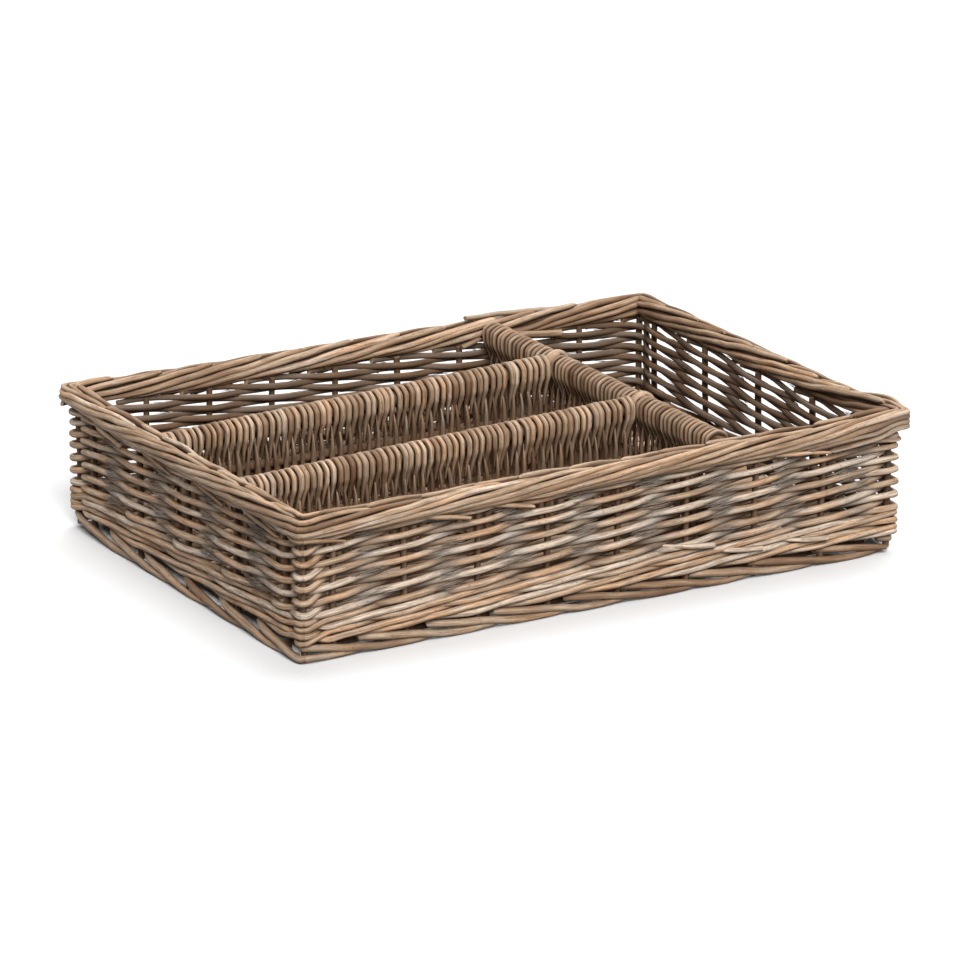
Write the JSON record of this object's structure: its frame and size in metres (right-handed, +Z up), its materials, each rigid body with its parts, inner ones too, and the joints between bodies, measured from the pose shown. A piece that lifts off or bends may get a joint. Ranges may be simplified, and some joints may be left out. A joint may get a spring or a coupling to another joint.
{
  "type": "wicker cutlery basket",
  "caption": "Rectangular tray woven from willow rods, with a rope-like top border, a waled foot and woven dividers that part it into long and cross compartments for cutlery.",
  "frame": {"origin": "middle of the underside, at the level of the foot rods that the basket stands on", "axes": "+X along the long walls towards the cross compartment, -Y to the front wall, +Z up"},
  "size_m": [0.4, 0.292, 0.085],
  "materials": {
    "wall_willow": "satin weathered willow bark, grey-brown",
    "border_willow": "satin weathered willow bark, tan to grey-brown",
    "divider_willow": "satin weathered willow bark, beige to grey-brown",
    "rail_willow": "satin willow bark with pale cut ends",
    "stake_willow": "dull dark willow bark",
    "base_willow": "dull weathered willow bark"
  },
  "bodies": {
    "root": {"back_foot_border": "border_willow", "back_stakes": "stake_willow", "back_top_border": "border_willow", "back_wale": "wall_willow", "back_weavers": "wall_willow", "base_sticks": "stake_willow", "base_weavers": "base_willow", "corner_posts": "stake_willow", "cross_divider_bottom_stick": "rail_willow", "cross_divider_middle_stick": "rail_willow", "cross_divider_rail": "rail_willow", "cross_divider_strands": "divider_willow", "front_divider_bottom_stick": "rail_willow", "front_divider_lashing": "divider_willow", "front_divider_middle_stick": "rail_willow", "front_divider_rail": "rail_willow", "front_divider_strands": "divider_willow", "front_foot_border": "border_willow", "front_stakes": "stake_willow", "front_top_border": "border_willow", "front_wale": "wall_willow", "front_weavers": "wall_willow", "left_foot_border": "border_willow", "left_stakes": "stake_willow", "left_top_border": "border_willow", "left_wale": "wall_willow", "left_weavers": "wall_willow", "rear_divider_bottom_stick": "rail_willow", "rear_divider_lashing": "divider_willow", "rear_divider_middle_stick": "rail_willow", "rear_divider_rail": "rail_willow", "rear_divider_strands": "divider_willow", "right_foot_border": "border_willow", "right_stakes": "stake_willow", "right_top_border": "border_willow", "right_wale": "wall_willow", "right_weavers": "wall_willow"}
  },
  "joints": []
}
